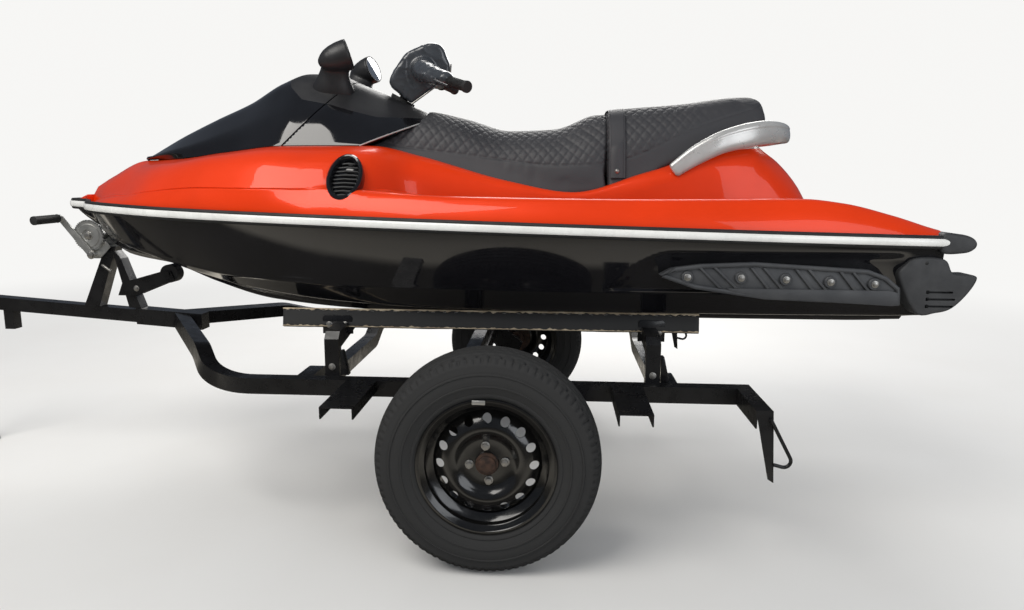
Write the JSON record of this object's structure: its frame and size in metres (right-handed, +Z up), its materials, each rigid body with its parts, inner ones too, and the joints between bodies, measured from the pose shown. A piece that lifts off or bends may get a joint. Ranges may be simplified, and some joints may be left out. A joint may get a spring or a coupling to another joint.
{
  "type": "personal watercraft on its trailer",
  "caption": "Two-seat personal watercraft with hood, seat, handlebar and jet drive, standing on a two-wheel boat trailer with winch, bunks and prop stand.",
  "frame": {"origin": "on the floor, midway between the coupler's nose and the craft's stern, on the centre plane", "axes": "+X aft, from the coupler towards the stern; +Y to starboard; +Z up"},
  "size_m": [3.8712, 1.765, 1.5819],
  "materials": {
    "hull_gloss_black": "polished black gel coat",
    "deck_orange_red": "metallic orange-red gel coat",
    "hood_gloss_black": "gloss black moulding",
    "rubber_black": "black rubber",
    "strip_silver": "pale silver insert",
    "plastic_dark_grey": "grained dark grey moulding",
    "plastic_black": "grained black moulding",
    "seat_vinyl": "dark grey quilted vinyl",
    "handle_silver": "silver painted moulding",
    "grille_black": "gloss black ring with slats",
    "mat_grey": "ribbed grey mat",
    "engine_metal": "plain block",
    "pump_aluminium": "cast aluminium",
    "pad_grey": "worn grey moulding",
    "mirror_glass": "mirror glass",
    "zinc_steel": "zinc plated steel",
    "bunk_vinyl": "plank wrapped in black vinyl",
    "hub_iron": "rusty iron",
    "tyre_rubber": "black tyre rubber",
    "wheel_black": "gloss black painted steel",
    "frame_black": "black painted steel"
  },
  "bodies": {
    "root": {"axle_beam": "frame_black", "bow_roller": "rubber_black", "bow_support": "frame_black", "bunk_brackets": "frame_black", "bunks": "bunk_vinyl", "console": "hood_gloss_black", "coupler": "frame_black", "cross_members": "frame_black", "deck": "deck_orange_red", "deck_mats": "mat_grey", "engine_block": "engine_metal", "grab_handle": "handle_silver", "hull": "hull_gloss_black", "intake_grate": "pump_aluminium", "jet_pump": "pump_aluminium", "lamp_brackets": "frame_black", "lamp_guards": "frame_black", "mudguard_brackets": "frame_black", "rail_end_caps": "plastic_dark_grey", "rail_left": "frame_black", "rail_right": "frame_black", "ride_plate": "pump_aluminium", "rub_rail": "rubber_black", "rub_strip": "strip_silver", "seat_front": "seat_vinyl", "seat_rear": "seat_vinyl", "seat_strap": "rubber_black", "side_grilles": "grille_black", "sponsons": "plastic_black", "stand_sleeve": "frame_black", "steering_neck": "rubber_black", "stern_corner_caps": "plastic_dark_grey", "suspension_arms": "frame_black", "tongue": "frame_black", "winch_crank": "zinc_steel", "winch_drum": "zinc_steel", "winch_frame": "zinc_steel", "winch_post": "frame_black"},
    "hood_lid": {"hood": "hood_gloss_black", "mirror_housings": "hood_gloss_black", "mirror_glasses": "mirror_glass"},
    "steering": {"handlebar": "plastic_black", "grips": "rubber_black", "handlebar_pad": "pad_grey"},
    "nozzle": {"steering_nozzle": "pump_aluminium"},
    "bucket": {"reverse_bucket": "plastic_black"},
    "left_wheel": {"tyre_left": "tyre_rubber", "wheel_left": "wheel_black", "hub_left": "hub_iron"},
    "right_wheel": {"tyre_right": "tyre_rubber", "wheel_right": "wheel_black", "hub_right": "hub_iron"},
    "stand_leg": {"prop_stand": "frame_black"}
  },
  "joints": [
    {"name": "hood_hinge", "type": "hinge", "parent": "root", "child": "hood_lid", "pos_m": [-0.81257, 0, 1.15324], "axis": [0, -1, 0], "range_deg": [0, 60]},
    {"name": "steering", "type": "hinge", "parent": "root", "child": "steering", "pos_m": [0.12, 0, 1.335], "axis": [0.4695, 0, 0.8829], "range_deg": [-34, 10]},
    {"name": "nozzle_swing", "type": "hinge", "parent": "root", "child": "nozzle", "pos_m": [1.7898, 0, 0.71759], "axis": [0, 0, 1], "range_deg": [-10, 34]},
    {"name": "bucket_hinge", "type": "hinge", "parent": "root", "child": "bucket", "pos_m": [1.7598, 0, 0.72359], "axis": [0, 1, 0], "range_deg": [0, 62]},
    {"name": "left_wheel_spin", "type": "hinge", "parent": "root", "child": "left_wheel", "pos_m": [0.525, -0.79, 0.318], "axis": [0, 1, 0], "continuous": true},
    {"name": "right_wheel_spin", "type": "hinge", "parent": "root", "child": "right_wheel", "pos_m": [0.525, 0.79, 0.318], "axis": [0, 1, 0], "continuous": true},
    {"name": "stand_slide", "type": "slide", "parent": "root", "child": "stand_leg", "axis": [0, 0, 1], "range_m": [0, 0.28]}
  ],
  "couplings": [
    {"joint": "nozzle_swing", "follows": "steering", "ratio": -1}
  ]
}
